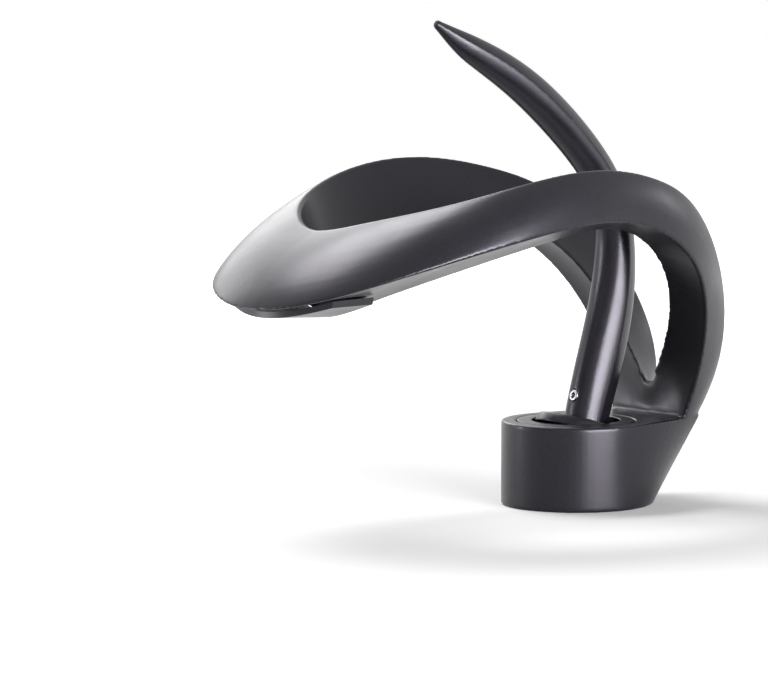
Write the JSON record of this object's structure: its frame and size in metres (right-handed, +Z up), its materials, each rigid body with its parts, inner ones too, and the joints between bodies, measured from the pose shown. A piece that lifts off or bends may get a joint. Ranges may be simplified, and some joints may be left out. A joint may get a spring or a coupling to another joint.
{
  "type": "waterfall basin faucet",
  "caption": "Deck-mounted basin mixer: round base, looped twin-arm body with a wide slot spout, and a curved horn lever on a mixing cartridge.",
  "frame": {"origin": "centre of the base's underside, on the basin's deck", "axes": "+Z up out of the deck, -Y towards the user and the spout's lip, +X to the user's right"},
  "size_m": [0.1122, 0.1853, 0.2152],
  "materials": {
    "faucet_body": "satin black coating on a brass casting",
    "spout_plate": "satin black coating on brass",
    "lever_handle": "satin black coating on a metal casting",
    "trim_ring": "satin black coating on brass",
    "grub_screw": "plain steel",
    "spindle": "machined steel",
    "spindle_pin": "ground steel",
    "cartridge_base": "moulded, natural",
    "port_seals": "black rubber",
    "fixed_disc": "polished white ceramic",
    "moving_disc": "polished white ceramic",
    "disc_carrier": "moulded, blue",
    "cartridge_housing": "moulded, grey",
    "spindle_guide": "moulded, blue",
    "limit_ring": "moulded, red",
    "retaining_nut": "turned brass",
    "base_gasket": "black rubber",
    "mounting_stud": "zinc-plated steel",
    "rubber_washer": "black rubber",
    "clamp_plate": "zinc-plated steel sheet",
    "mounting_nut": "turned brass"
  },
  "bodies": {
    "base": {"faucet_body": "faucet_body", "spout_plate": "spout_plate", "trim_ring": "trim_ring", "cartridge_base": "cartridge_base", "port_seals": "port_seals", "fixed_disc": "fixed_disc", "cartridge_housing": "cartridge_housing", "limit_ring": "limit_ring", "retaining_nut": "retaining_nut", "base_gasket": "base_gasket", "mounting_stud": "mounting_stud", "rubber_washer": "rubber_washer", "clamp_plate": "clamp_plate", "mounting_nut": "mounting_nut"},
    "turn": {"spindle_guide": "spindle_guide", "spindle_pin": "spindle_pin"},
    "lever": {"spindle": "spindle", "lever_handle": "lever_handle", "grub_screw": "grub_screw"},
    "discs": {"moving_disc": "moving_disc", "disc_carrier": "disc_carrier"}
  },
  "joints": [
    {"name": "lever_turn", "type": "hinge", "parent": "base", "child": "turn", "pos_m": [0, 0, 0.022], "axis": [0, 0, 1], "range_deg": [-45, 45]},
    {"name": "lever_tilt", "type": "hinge", "parent": "turn", "child": "lever", "pos_m": [0, 0, 0.022], "axis": [1, 0, 0], "range_deg": [0, 16]},
    {"name": "disc_slide", "type": "slide", "parent": "turn", "child": "discs", "axis": [0, 1, 0], "range_m": [0, 0.002]}
  ],
  "couplings": [
    {"joint": "disc_slide", "follows": "lever_tilt", "m_per_rad": 0.007}
  ]
}
